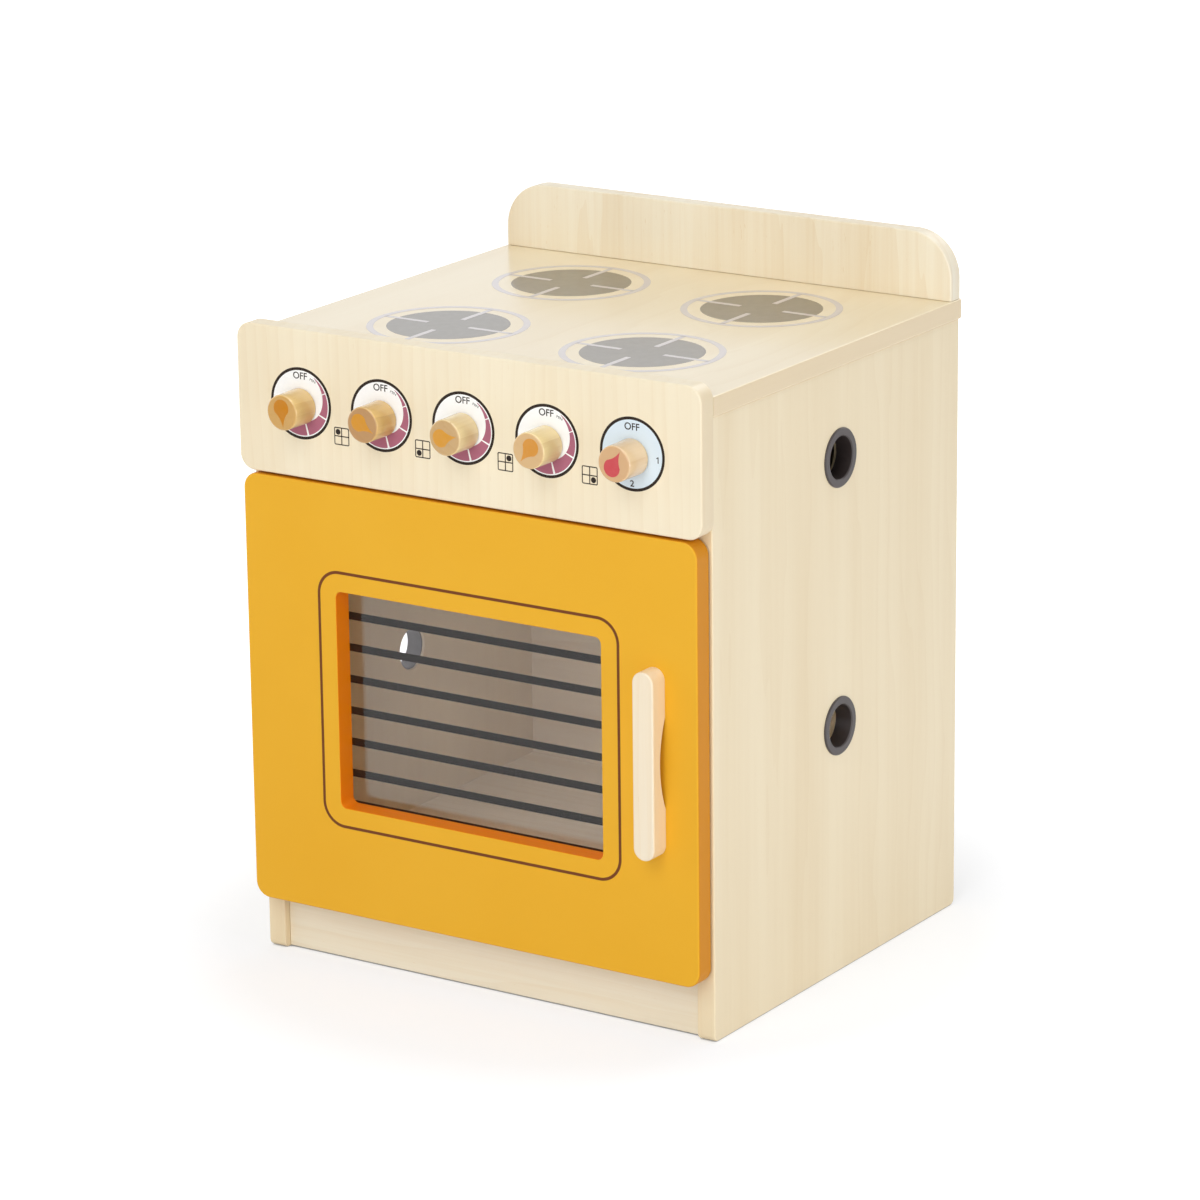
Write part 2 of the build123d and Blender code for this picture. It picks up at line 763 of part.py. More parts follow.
def strike_screw(mode=Mode.ADD):
    """The strike plate's countersunk screw, or the hole that it fits."""
    top_y = door_rear_y + strike_thickness
    with BuildSketch(Plane.XY.offset(catch_height)) as half_section:
        with BuildLine():
            Polyline(
                [
                    (catch_x, top_y),
                    (catch_x + strike_screw_head, top_y),
                    (catch_x + small_screw_radius, door_rear_y),
                    (catch_x + small_screw_radius, top_y - strike_screw_length),
                    (catch_x, top_y - strike_screw_length),
                ],
                close=True,
            )
        make_face()
    revolve(half_section.sketch, axis=Axis((catch_x, 0, catch_height), (0, 1, 0)), mode=mode)


with BuildPart() as strike_plate:
    with BuildSketch(Plane.XZ.offset(-door_rear_y)):
        with Locations((catch_x, catch_height)):
            RectangleRounded(strike_width, strike_length, strike_corner)
    extrude(amount=-strike_thickness)
    strike_screw(mode=Mode.SUBTRACT)
keep(strike_plate, "strike_plate")

with BuildPart() as strike_plate_screw:
    strike_screw()
    cross_recess((catch_x, door_rear_y + strike_thickness, catch_height), (0, 1, 0),
                 strike_screw_head)
keep(strike_plate_screw, "strike_screw")

# -------------------------------------------------------------------------- knobs
# Each knob turns freely on a bolt that runs in a plastic bush in the control
# panel. The bolt screws into a brass insert in the knob.
knob_gap = 0.4
knob_rim = 1.5
spindle_radius = 2.5
bush_bore_radius = 2.55
bush_flange_radius = 7.0
bush_flange_thickness = 1.2
insert_radius = 3.5
insert_length = 12.0
bolt_depth_in_knob = 11.0
washer_radius = 6.0
washer_thickness = 1.0
axial_play = 0.3
bolt_head = 4.8
bolt_head_height = 3.2
knob_base_y = panel_front_y - knob_gap
washer_y = front_y + bush_flange_thickness + axial_play

with BuildPart() as knob_bushes:
    for x in knob_positions:
        rod((x, panel_front_y, knob_height), (0, 1, 0), bush_radius, front_board)
        rod((x, front_y, knob_height), (0, 1, 0), bush_flange_radius, bush_flange_thickness)
        rod((x, panel_front_y, knob_height), (0, 1, 0), bush_bore_radius,
            front_board + bush_flange_thickness, mode=Mode.SUBTRACT)
keep(knob_bushes, "knob_bushes")


def knob(x):
    """A turned knob: slightly tapered, with a round rim and a broken base edge."""
    base_break = 0.6
    base_radius = knob_base_radius
    with BuildPart() as turned:
        with BuildSketch(Plane.XY.offset(knob_height)):
            with BuildLine():
                Polyline(
                    [
                        (x, knob_base_y),
                        (x + base_radius - base_break, knob_base_y),
                        (x + base_radius, knob_base_y - base_break),
                        (x + knob_face_radius, knob_face_y),
                        (x, knob_face_y),
                    ],
                    close=True,
                )
            outline = make_face()
            rim = outline.vertices().group_by(Axis.Y)[0].sort_by(Axis.X)[-1]
            fillet(rim, radius=knob_rim)
        revolve(axis=Axis((x, 0, knob_height), (0, 1, 0)))
        rod((x, knob_base_y, knob_height), (0, -1, 0), insert_radius, insert_length,
            mode=Mode.SUBTRACT)
    return turned


for number, x in enumerate(knob_positions, start=1):
    keep(knob(x), f"knob_{number}")
    with BuildPart() as knob_insert:
        rod((x, knob_base_y, knob_height), (0, -1, 0), insert_radius, insert_length)
        rod((x, knob_base_y, knob_height), (0, -1, 0), spindle_radius, insert_length,
            mode=Mode.SUBTRACT)
    keep(knob_insert, f"knob_insert_{number}")
    with BuildPart() as knob_washer:
        rod((x, washer_y, knob_height), (0, 1, 0), washer_radius, washer_thickness)
        rod((x, washer_y, knob_height), (0, 1, 0), spindle_radius, washer_thickness,
            mode=Mode.SUBTRACT)
    keep(knob_washer, f"knob_washer_{number}")
    with BuildPart() as knob_bolt:
        head_seat = washer_y + washer_thickness
        shank = head_seat - knob_base_y + bolt_depth_in_knob
        pan_screw((x, head_seat, knob_height), (0, -1, 0), spindle_radius, shank,
                  bolt_head, bolt_head_height)
    keep(knob_bolt, f"knob_bolt_{number}")
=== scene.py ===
from math import cos, radians, sin

import bmesh
import bpy
from mathutils import Matrix, Vector


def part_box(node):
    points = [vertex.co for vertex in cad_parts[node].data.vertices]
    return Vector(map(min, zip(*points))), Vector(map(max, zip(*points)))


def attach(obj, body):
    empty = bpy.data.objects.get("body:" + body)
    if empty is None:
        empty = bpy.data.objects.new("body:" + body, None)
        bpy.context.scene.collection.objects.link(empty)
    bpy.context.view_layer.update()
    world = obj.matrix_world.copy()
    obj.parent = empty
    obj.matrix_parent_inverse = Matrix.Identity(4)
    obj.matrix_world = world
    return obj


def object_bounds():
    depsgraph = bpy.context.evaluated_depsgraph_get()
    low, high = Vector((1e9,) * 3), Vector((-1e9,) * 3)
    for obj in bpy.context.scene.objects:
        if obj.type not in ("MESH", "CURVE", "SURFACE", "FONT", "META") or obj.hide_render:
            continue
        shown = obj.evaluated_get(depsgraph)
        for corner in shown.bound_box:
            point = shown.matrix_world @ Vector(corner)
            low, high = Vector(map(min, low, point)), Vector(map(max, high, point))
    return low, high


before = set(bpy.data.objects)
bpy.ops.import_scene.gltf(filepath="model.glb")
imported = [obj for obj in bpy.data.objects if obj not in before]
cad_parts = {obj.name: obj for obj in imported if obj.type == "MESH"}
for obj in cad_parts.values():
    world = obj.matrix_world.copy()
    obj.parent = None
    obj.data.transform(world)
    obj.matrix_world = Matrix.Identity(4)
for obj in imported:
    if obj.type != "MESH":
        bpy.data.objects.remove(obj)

cad_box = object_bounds()

# ======================================================================= the view
# A long lens looks down on the cooker from its front right-hand corner, a little
# above the height of a child's head.
view_target = Vector((0.00594, -0.006, 0.26502))
view_azimuth = radians(33.227)
view_elevation = radians(16.254)
view_roll = radians(-0.667)
view_distance = 3.8712
view_lens_mm = 155.61
view_film_mm = 36.0

camera = bpy.data.objects.new("view", bpy.data.cameras.new("view"))
camera.data.sensor_width = view_film_mm
camera.data.lens = view_lens_mm
towards_camera = Vector((
    sin(view_azimuth) * cos(view_elevation),
    -cos(view_azimuth) * cos(view_elevation),
    sin(view_elevation),
))
camera.location = view_target + view_distance * towards_camera
level = towards_camera.to_track_quat("Z", "Y")
camera.rotation_euler = (level.to_matrix() @ Matrix.Rotation(view_roll, 3, "Z")).to_euler()
bpy.context.scene.collection.objects.link(camera)
bpy.context.scene.camera = camera
bpy.context.scene.view_settings.view_transform = "Standard"


# ===================================================================== the studio
# A white floor and a white room, lit by seven broad soft lamps. What the camera and
# the lacquer see of the room is plain white. The floor's own glow is weaker near the
# cooker, so that its shadow stays, and is cut further where an occlusion mask finds
# the cooker close: a painted contact shadow under and round it.
def place(tree, kind, wires=None, **settings):
    """Add a shader node, set its settings, and feed its inputs from sockets or values."""
    node = tree.nodes.new("ShaderNode" + kind)
    for name, value in settings.items():
        setattr(node, name, value)
    for name, source in (wires or {}).items():
        socket = node.inputs[name]
        if isinstance(source, bpy.types.NodeSocket):
            tree.links.new(source, socket)
        else:
            socket.default_value = source
    return node


def seen_directly(tree):
    """One for rays from the camera, from gloss or through clear sheet; zero for lighting."""
    path = place(tree, "LightPath").outputs
    gloss = place(tree, "Math", {0: path["Is Camera Ray"], 1: path["Is Glossy Ray"]},
                  operation="MAXIMUM")
    clear = place(tree, "Math", {0: gloss.outputs[0], 1: path["Is Transmission Ray"]},
                  operation="MAXIMUM")
    return clear.outputs[0]


room_light = 0.25
room_white = 1.08
white = (1, 1, 1, 1)
room = bpy.data.worlds.new("white_room")
bpy.context.scene.world = room
room.use_nodes = True
room.node_tree.nodes.clear()
lighting = place(room.node_tree, "Background", {"Color": white, "Strength": room_light})
backdrop = place(room.node_tree, "Background", {"Color": white, "Strength": room_white})
room_mix = place(room.node_tree, "MixShader", {
    0: seen_directly(room.node_tree), 1: lighting.outputs[0], 2: backdrop.outputs[0],
})
place(room.node_tree, "OutputWorld", {"Surface": room_mix.outputs[0]})


def new_finish(name):
    """An empty node material; returns it with its tree."""
    finish = bpy.data.materials.new(name)
    finish.use_nodes = True
    finish.node_tree.nodes.clear()
    return finish, finish.node_tree


floor_size = 14.0
floor_gap = 0.0002
floor_grey = (0.8, 0.8, 0.8, 1)
floor_seen_grey = (0.5, 0.495, 0.5, 1)
glow_tint = (0.975, 0.99, 1, 1)
glow_starts = 0.28
glow_is_full = 0.6
glow_near = 0.57
shadow_reach = 0.008
shadow_gain = 2.0
floor_mesh = bpy.data.meshes.new("studio_floor")
floor_mesh.from_pydata(
    [(x * floor_size / 2, y * floor_size / 2, 0) for x, y in ((-1, -1), (1, -1), (1, 1), (-1, 1))],
    [], [(0, 1, 2, 3)],
)
floor = bpy.data.objects.new("studio_floor", floor_mesh)
floor.location.z = cad_box[0][2] - floor_gap
bpy.context.scene.collection.objects.link(floor)
sheet, sheet_tree = new_finish("studio_floor")
bounced = place(sheet_tree, "BsdfDiffuse", {"Color": floor_grey})
shown = place(sheet_tree, "BsdfDiffuse", {"Color": floor_seen_grey})
from_middle = place(sheet_tree, "VectorMath", {0: place(sheet_tree, "TexCoord").outputs["Object"]},
                    operation="LENGTH").outputs["Value"]
far_white = place(sheet_tree, "MapRange", {
    "Value": from_middle, "From Min": glow_starts, "From Max": glow_is_full,
    "To Min": glow_near, "To Max": 1.0,
}).outputs[0]
# Occlusion close to the cooker dims the glow: a painted contact shadow.
open_sky = place(sheet_tree, "AmbientOcclusion", {"Distance": shadow_reach}, samples=8).outputs["AO"]
glow_strength = place(sheet_tree, "Math", {
    0: far_white, 1: place(sheet_tree, "Math", {0: open_sky, 1: shadow_gain}, operation="MULTIPLY",
                           use_clamp=True).outputs[0],
}, operation="MULTIPLY").outputs[0]
glow = place(sheet_tree, "Emission", {"Color": glow_tint, "Strength": glow_strength})
lit = place(sheet_tree, "AddShader", {0: shown.outputs[0], 1: glow.outputs[0]})
sheet_mix = place(sheet_tree, "MixShader", {
    0: seen_directly(sheet_tree), 1: bounced.outputs[0], 2: lit.outputs[0],
})
place(sheet_tree, "OutputMaterial", {"Surface": sheet_mix.outputs[0]})
floor_mesh.materials.append(sheet)

lamp_aim = Vector((0, 0, 0.25))


def soft_lamp(name, place_at, size, watts, tint=(1, 1, 1)):
    """A square lamp aimed at the middle of the cooker."""
    lamp = bpy.data.lights.new(name, "AREA")
    lamp.size = size
    lamp.energy = watts
    lamp.color = tint
    thing = bpy.data.objects.new(name, lamp)
    thing.location = place_at
    thing.rotation_euler = (thing.location - lamp_aim).to_track_quat("Z", "Y").to_euler()
    bpy.context.scene.collection.objects.link(thing)


soft_lamp("front_lamp", (0.35, -2.9, 0.6), size=1.4, watts=14)
soft_lamp("front_high_lamp", (0.4, -2.5, 2.2), size=1.8, watts=31)
soft_lamp("front_right_lamp", (1.2, -2.7, 0.7), size=1.2, watts=4)
soft_lamp("right_low_lamp", (2.4, -0.3, 0.35), size=0.7, watts=18.5, tint=(0.95, 1.0, 1.12))
soft_lamp("overhead_lamp", (0.0, 0.2, 2.8), size=2.4, watts=23)
soft_lamp("left_lamp", (-2.4, -1.0, 0.9), size=1.6, watts=11)
soft_lamp("back_lamp", (0.2, 2.4, 2.0), size=1.6, watts=12)


# ============================================================== the carcass boards
# Boards of pale, close-grained wood under clear lacquer: two sides, a worktop, a
# plinth, an oven floor and a divider, joined by dowels and cam fittings.
def effect(name, inputs, outputs):
    """A shader group with named sockets; returns its tree, its inputs and its output node."""
    tree = bpy.data.node_groups.new(name, "ShaderNodeTree")
    for label, kind, value in inputs:
        socket = tree.interface.new_socket(label, in_out="INPUT", socket_type="NodeSocket" + kind)
        if value is not None:
            socket.default_value = value
    for label, kind in outputs:
        tree.interface.new_socket(label, in_out="OUTPUT", socket_type="NodeSocket" + kind)
    entry = tree.nodes.new("NodeGroupInput")
    leaving = tree.nodes.new("NodeGroupOutput")
    return tree, entry.outputs, leaving


def use(tree, group, wires):
    """Place a group in a material with its own values; returns the group's outputs."""
    return place(tree, "Group", wires, node_tree=group).outputs


def calc(tree, operation, first, second=0.0, clamp=False):
    """One step of arithmetic on values or sockets."""
    return place(tree, "Math", {0: first, 1: second}, operation=operation, use_clamp=clamp).outputs[0]


def stretched_noise(tree, vector, scale, detail=2.0, roughness=0.5, shift=0.0):
    """Noise whose size along each axis is set by a scale in lumps per metre."""
    scaled = place(tree, "VectorMath", {0: vector, 1: scale}, operation="MULTIPLY")
    moved = place(tree, "VectorMath", {0: scaled.outputs[0], 1: (shift, shift, shift)},
                  operation="ADD")
    noise = place(tree, "TexNoise", {
        "Vector": moved.outputs[0], "Scale": 1.0, "Detail": detail, "Roughness": roughness,
    })
    return noise.outputs[0]


def between(tree, value, low, high):
    """A socket's value stretched so that low gives 0 and high gives 1."""
    return place(tree, "MapRange", {"Value": value, "From Min": low, "From Max": high},
                 clamp=True).outputs[0]


def blended(tree, amount, first, second):
    """Two colours mixed by an amount."""
    node = place(tree, "Mix", data_type="RGBA")
    for index, source in ((0, amount), (6, first), (7, second)):
        if isinstance(source, bpy.types.NodeSocket):
            tree.links.new(source, node.inputs[index])
        else:
            node.inputs[index].default_value = source
    return node.outputs[2]


# How many lumps of each pattern lie in a metre, across, through and along the grain,
# and the range of its noise that shows.
band_lumps = (22, 22, 1.2)
waver_lumps = (9, 9, 2.2)
fibre_lumps = (700, 700, 14)
streak_lumps = (170, 170, 5)
dash_lumps = (900, 900, 110)
patch_lumps = (30, 30, 8)
band_range = (0.3, 0.75)
streak_range = (0.42, 0.8)
fibre_range = (0.3, 0.8)
dash_range = (0.72, 0.8)
patch_range = (0.45, 0.62)
rings_per_metre = 34.0
ring_sharpness = 3.0
ring_stretch = 0.085
ring_push_across = 0.035
ring_push_through = 0.028
fibre_share = 0.3
fibre_relief = 0.8

# Close grain: broad bands of tone, arched growth lines, fine fibres and short dark
# flecks, all running along the third axis of the vector that the material hands in.
grain, grain_in, grain_out = effect(
    "close_grain",
    [
        ("Vector", "Vector", None),
        ("Pale", "Color", (0.8, 0.7, 0.5, 1)),
        ("Dark", "Color", (0.6, 0.45, 0.3, 1)),
        ("Bands", "Float", 0.3),
        ("Growth", "Float", 0.3),
        ("Streaks", "Float", 0.2),
        ("Flecks", "Float", 0.5),
    ],
    [("Color", "Color"), ("Height", "Float"), ("Dulling", "Float")],
)
bands = stretched_noise(grain, grain_in["Vector"], band_lumps)
waver = stretched_noise(grain, grain_in["Vector"], waver_lumps, shift=3.0)
wander = place(grain, "VectorMath", {0: grain_in["Vector"], 1: (1, 1, ring_stretch)},
               operation="MULTIPLY")
pushed = place(grain, "CombineXYZ", {0: calc(grain, "MULTIPLY", waver, ring_push_across),
                                     1: calc(grain, "MULTIPLY", waver, ring_push_through)})
warped = place(grain, "VectorMath", {0: wander.outputs[0], 1: pushed.outputs[0]}, operation="ADD")
rings = place(grain, "TexWave", {
    "Vector": warped.outputs[0], "Scale": rings_per_metre, "Distortion": 3.2, "Detail": 2.0,
    "Detail Scale": 1.6, "Detail Roughness": 0.55,
}, wave_type="RINGS", rings_direction="SPHERICAL", wave_profile="SAW")
growth = calc(grain, "POWER", rings.outputs["Fac"], ring_sharpness)
fibres = stretched_noise(grain, grain_in["Vector"], fibre_lumps, detail=3.0, roughness=0.65)
streaks = stretched_noise(grain, grain_in["Vector"], streak_lumps, detail=3.0, roughness=0.6, shift=7.0)
dashes = stretched_noise(grain, grain_in["Vector"], dash_lumps, detail=1.0, shift=11.0)
patches = stretched_noise(grain, grain_in["Vector"], patch_lumps, detail=1.0, shift=5.0)
fleck = calc(grain, "MULTIPLY", between(grain, dashes, *dash_range),
             between(grain, patches, *patch_range))
tone = calc(grain, "MULTIPLY", between(grain, bands, *band_range), grain_in["Bands"])
tone = calc(grain, "ADD", tone, calc(grain, "MULTIPLY", growth, grain_in["Growth"]))
fine = calc(grain, "ADD", between(grain, streaks, *streak_range),
            calc(grain, "MULTIPLY", between(grain, fibres, *fibre_range), fibre_share))
tone = calc(grain, "ADD", tone, calc(grain, "MULTIPLY", fine, grain_in["Streaks"]))
tone = calc(grain, "ADD", tone, calc(grain, "MULTIPLY", fleck, grain_in["Flecks"]), clamp=True)
grain.links.new(blended(grain, tone, grain_in["Pale"], grain_in["Dark"]), grain_out.inputs["Color"])
relief = calc(grain, "SUBTRACT", 1.0, calc(grain, "MULTIPLY", fibres, fibre_relief))
grain.links.new(relief, grain_out.inputs["Height"])
grain.links.new(calc(grain, "MULTIPLY", streaks, tone), grain_out.inputs["Dulling"])

grain_ways = {"up": (0, 1, 2), "deep": (0, 2, 1), "across": (2, 1, 0)}


def colour(red, green, blue):
    """A colour as a maker's chart gives it, 0 to 255, turned into shader light."""
    def straight(value):
        value = value / 255
        return value / 12.92 if value <= 0.04045 else ((value + 0.055) / 1.055) ** 2.4
    return (straight(red), straight(green), straight(blue), 1.0)


def along_grain(tree, way, shift):
    """The piece's own place in metres, turned so that the grain runs along the third axis."""
    spot = place(tree, "TexCoord").outputs["Object"]
    moved = place(tree, "VectorMath", {0: spot, 1: shift}, operation="ADD").outputs[0]
    axes = place(tree, "SeparateXYZ", {0: moved}).outputs
    turned = place(tree, "CombineXYZ", {i: axes[axis] for i, axis in enumerate(grain_ways[way])})
    return turned.outputs[0]


def finished(tree, surface, height, depth):
    """Join a Principled shader to the output, with a bump of a real depth in metres."""
    bump = place(tree, "Bump", {"Height": height, "Distance": depth, "Strength": 1.0})
    tree.links.new(bump.outputs[0], surface.inputs["Normal"])
    place(tree, "OutputMaterial", {"Surface": surface.outputs[0]})


wood_dulling = 0.2
fibre_depth = 0.00001
soak_and_shade_starts = 0.55
soak_and_shade_is_full = 0.95
seam_starts = 0.0008
seam_is_full = 0.0004


def board_wood(name, way, shift, pale, dark, bands=0.4, growth=0.1, streaks=0.2, flecks=0.4,
               satin=0.42, gloss_coat=0.25, coat_blur=0.22, soak_and_shade_axis="X", soak_and_shade=0.0, seam=None):
    """Clear-lacquered pale wood; faces along one axis may blend towards the darker tone as painted
    shade, and a band at a seam's height darkens as a glue line with painted shade.
    """
    finish, tree = new_finish(name)
    wood = use(tree, grain, {
        "Vector": along_grain(tree, way, shift), "Pale": pale, "Dark": dark,
        "Bands": bands, "Growth": growth, "Streaks": streaks, "Flecks": flecks,
    })
    dull = calc(tree, "ADD", calc(tree, "MULTIPLY", wood["Dulling"], wood_dulling), satin)
    tone = wood["Color"]
    # Faces turned along the given axis blend towards the darker tone: painted shade.
    if soak_and_shade:
        facing = place(tree, "SeparateXYZ", {0: place(tree, "TexCoord").outputs["Normal"]}).outputs
        mask = between(tree, calc(tree, "ABSOLUTE", facing[soak_and_shade_axis]), soak_and_shade_starts, soak_and_shade_is_full)
        tone = blended(tree, calc(tree, "MULTIPLY", mask, soak_and_shade), tone, dark)
    # A band at the seam's height darkens: a glue line with painted shade in the crease.
    if seam is not None:
        level = place(tree, "SeparateXYZ", {0: place(tree, "TexCoord").outputs["Object"]}).outputs["Z"]
        away = calc(tree, "ABSOLUTE", calc(tree, "SUBTRACT", level, seam))
        tone = blended(tree, between(tree, away, seam_starts, seam_is_full), tone, dark)
    surface = place(tree, "BsdfPrincipled", {
        "Base Color": tone, "Roughness": dull,
        "Coat Weight": gloss_coat, "Coat Roughness": coat_blur,
    })
    finished(tree, surface, wood["Height"], fibre_depth)
    return finish


def coat(finish, *nodes):
    """Give CAD pieces a finish in place of their plain one."""
    for node in nodes:
        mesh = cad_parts[node].data
        mesh.materials.clear()
        mesh.materials.append(finish)


maple_pale = colour(244, 229, 195)
maple_dark = colour(222, 195, 148)
# The side panels and the worktop darken in a narrow band at their joint: a glue line with painted
# shade.
worktop_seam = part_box("worktop")[0].z
coat(board_wood("side_maple", "up", (0.3, 0.1, 0.0), colour(243, 226, 190), maple_dark, bands=0.35,
                streaks=0.1, flecks=0.2, seam=worktop_seam), "left_side_panel", "right_side_panel")
# The worktop's ends, facing sideways, blend towards the darker tone: painted shade.
coat(board_wood("worktop_maple", "deep", (0.13, 0.0, 0.4), maple_pale, maple_dark, bands=0.25,
                streaks=0.06, satin=0.3, gloss_coat=0.65, coat_blur=0.15, soak_and_shade=0.72,
                seam=worktop_seam), "worktop")
# The plinth is toned paler and cooler than the other boards: painted light that offsets the shade and
# orange bounce under the door.
coat(board_wood("plinth_maple", "across", (0.0, 0.27, 0.05), colour(248, 241, 220), maple_dark,
                bands=0.25), "plinth")
# The oven floor and divider are toned paler than the other boards: painted light inside the oven.
coat(board_wood("shelf_maple", "across", (0.0, 0.5, 0.11), colour(254, 243, 219), maple_dark,
                bands=0.15), "oven_floor", "oven_divider")

# ===================================================== the backsplash, panel and back
# The upstand behind the worktop and the board that carries the knobs are cut from
# the same wood, with the grain upright. The back is a thin board let into grooves.
coat(board_wood("backsplash_maple", "up", (0.05, 0.6, 0.7), colour(247, 239, 217), maple_dark,
                bands=0.35, growth=0.15), "backsplash")
# The panel's ends, facing sideways, blend towards the darker tone: painted shade.
coat(board_wood("panel_maple", "up", (0.41, 0.2, 0.9), colour(246, 234, 206), maple_dark,
                bands=0.25, streaks=0.1, flecks=0.2, soak_and_shade=0.45), "control_panel")
coat(board_wood("back_maple", "across", (0.9, 0.8, 0.3), colour(250, 238, 212), colour(214, 186, 142),
                bands=0.3, growth=0.14, gloss_coat=0.05), "back_panel")

# =============================================================== the hidden fixings
# Beech dowels, zinc-plated bolts and screws, and die-cast cam locks hold the boards.
# They are seen only from below, from inside the oven and at the back.
raw_fibre_depth = 0.00004
beech, beech_tree = new_finish("raw_beech")
beech_wood = use(beech_tree, grain, {
    "Vector": along_grain(beech_tree, "up", (0, 0, 0)), "Pale": colour(214, 178, 130),
    "Dark": colour(168, 124, 80), "Bands": 0.3, "Growth": 0.2, "Flecks": 0.8,
})
finished(beech_tree, place(beech_tree, "BsdfPrincipled", {
    "Base Color": beech_wood["Color"], "Roughness": beech_wood["Dulling"],
}), beech_wood["Height"], raw_fibre_depth)
coat(beech, "wood_dowels")

drawn_line_depth = 0.00001
bloom_lumps = (60, 60, 60)
bloom_range = (0.4, 0.7)
noise_middle = (0.3, 0.7)


def spread(tree, noise, ends):
    """Roughness that runs between two ends over the middle of a noise's range."""
    return place(tree, "MapRange", {
        "Value": noise, "From Min": noise_middle[0], "From Max": noise_middle[1],
        "To Min": ends[0], "To Max": ends[1],
    }).outputs[0]


def plated_metal(name, tone, sheen, line_lumps, blotch=0.08):
    """Plated or cast metal: a bright skin with fine drawn lines and a faint bloom."""
    finish, tree = new_finish(name)
    spot = place(tree, "TexCoord").outputs["Object"]
    bloom = stretched_noise(tree, spot, bloom_lumps, detail=3.0)
    lines = stretched_noise(tree, spot, line_lumps, roughness=0.6)
    duller = tuple(value * (1 - blotch * 3) for value in tone[:3]) + (1.0,)
    surface = place(tree, "BsdfPrincipled", {
        "Base Color": blended(tree, between(tree, bloom, *bloom_range), tone, duller),
        "Metallic": 1.0,
        "Roughness": spread(tree, lines, sheen),
    })
    finished(tree, surface, lines, drawn_line_depth)
    return finish


zinc = plated_metal("zinc_plate", colour(206, 208, 212), (0.22, 0.4), (900, 900, 120))
coat(zinc, "cam_bolts", "back_panel_screws", "catch_screws", "pane_screws", "handle_screws",
     "handle_washers", "hinge_frame_screws", "hinge_door_screws", "strike_screw")
coat(plated_metal("cast_zinc", colour(176, 178, 180), (0.4, 0.6), (1500, 1500, 1500), blotch=0.12),
     "cam_locks")


# ================================================================== the link holes
# A snap-in sleeve of moulded charcoal plastic lines each round hole in the sides.
# Its flange covers the edge of the hole, outside.
pore_lumps = (2200, 2200, 2200)
flow_lumps = (35, 35, 35)
flow_range = (0.35, 0.75)
flow_paleness = 1.25


def moulded_plastic(name, tone, sheen, speckle=0.00002):
    """Moulded plastic: an even colour, fine spark-eroded texture and soft mould sheen."""
    finish, tree = new_finish(name)
    spot = place(tree, "TexCoord").outputs["Object"]
    pores = stretched_noise(tree, spot, pore_lumps)
    flow = stretched_noise(tree, spot, flow_lumps)
    paler = tuple(min(1.0, value * flow_paleness) for value in tone[:3]) + (1.0,)
    surface = place(tree, "BsdfPrincipled", {
        "Base Color": blended(tree, between(tree, flow, *flow_range), tone, paler),
        "Roughness": spread(tree, flow, sheen),
    })
    finished(tree, surface, pores, speckle)
    return finish


coat(moulded_plastic("charcoal_plastic", colour(60, 52, 50), (0.34, 0.46)), "lower_left_grommet",
     "upper_left_grommet", "lower_right_grommet", "upper_right_grommet")

# ============================================================== the printed burners
# Four burners are screen-printed on the worktop under the lacquer: a dark disc, a
# lilac-grey ring round it, and four bars from the ring towards the middle.
mm = 0.001
ink_thickness = 0.00004


def arc(radius, start, end, steps, centre=(0.0, 0.0)):
    """Points along an arc, by angles in degrees clockwise from the top."""
    turns = [radians(start + (end - start) * i / steps) for i in range(steps + 1)]
    return [(centre[0] + radius * sin(a), centre[1] + radius * cos(a)) for a in turns]


def circle(radius, centre=(0.0, 0.0), steps=96):
    """Points round a full circle."""
    return arc(radius, 0, 360, steps, centre)[:-1]


def bar(low_x, low_y, high_x, high_y):
    """Corners of an upright rectangle."""
    return [(low_x, low_y), (high_x, low_y), (high_x, high_y), (low_x, high_y)]


def layer(loops):
    """A filled shape one ink layer thick, in millimetres; loops inside loops are holes."""
    curve = bpy.data.curves.new("ink", "CURVE")
    curve.dimensions = "2D"
    curve.fill_mode = "BOTH"
    curve.extrude = ink_thickness / mm / 2
    for loop in loops:
        spline = curve.splines.new("POLY")
        spline.points.add(len(loop) - 1)
        for point, (x, y) in zip(spline.points, loop):
            point.co = (x, y, 0, 1)
        spline.use_cyclic_u = True
    return curve, Matrix.Identity(4)


def to_mesh(curve):
    """The mesh of a curve or of lettering."""
    carrier = bpy.data.objects.new("carrier", curve)
    bpy.context.scene.collection.objects.link(carrier)
    bpy.context.view_layer.update()
    mesh = bpy.data.meshes.new_from_object(carrier.evaluated_get(bpy.context.evaluated_depsgraph_get()))
    bpy.data.objects.remove(carrier)
    return mesh


top_plane = Matrix.Identity(4)


def printed(name, body, plane, origin, layers):
    """One printed piece: layers of ink in millimetres on a plane, the first the lowest."""
    whole = bmesh.new()
    inks = []
    for ink, level, shapes in layers:
        if ink not in inks:
            inks.append(ink)
        for curve, turn in shapes:
            flat = to_mesh(curve)
            lift = Matrix.Translation((0, 0, ink_thickness / mm * (level + 0.5)))
            flat.transform(Matrix.Translation(origin) @ plane @ Matrix.Scale(mm, 4) @ lift @ turn)
            first = len(whole.faces)
            whole.from_mesh(flat)
            whole.faces.ensure_lookup_table()
            for face in whole.faces[first:]:
                face.material_index = inks.index(ink)
            bpy.data.meshes.remove(flat)
    bmesh.ops.remove_doubles(whole, verts=whole.verts, dist=0.000001)
    bmesh.ops.recalc_face_normals(whole, faces=whole.faces)
    mesh = bpy.data.meshes.new(name)
    whole.to_mesh(mesh)
    whole.free()
    for ink in inks:
        mesh.materials.append(ink)
    piece = bpy.data.objects.new(name, mesh)
    bpy.context.scene.collection.objects.link(piece)
    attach(piece, body)


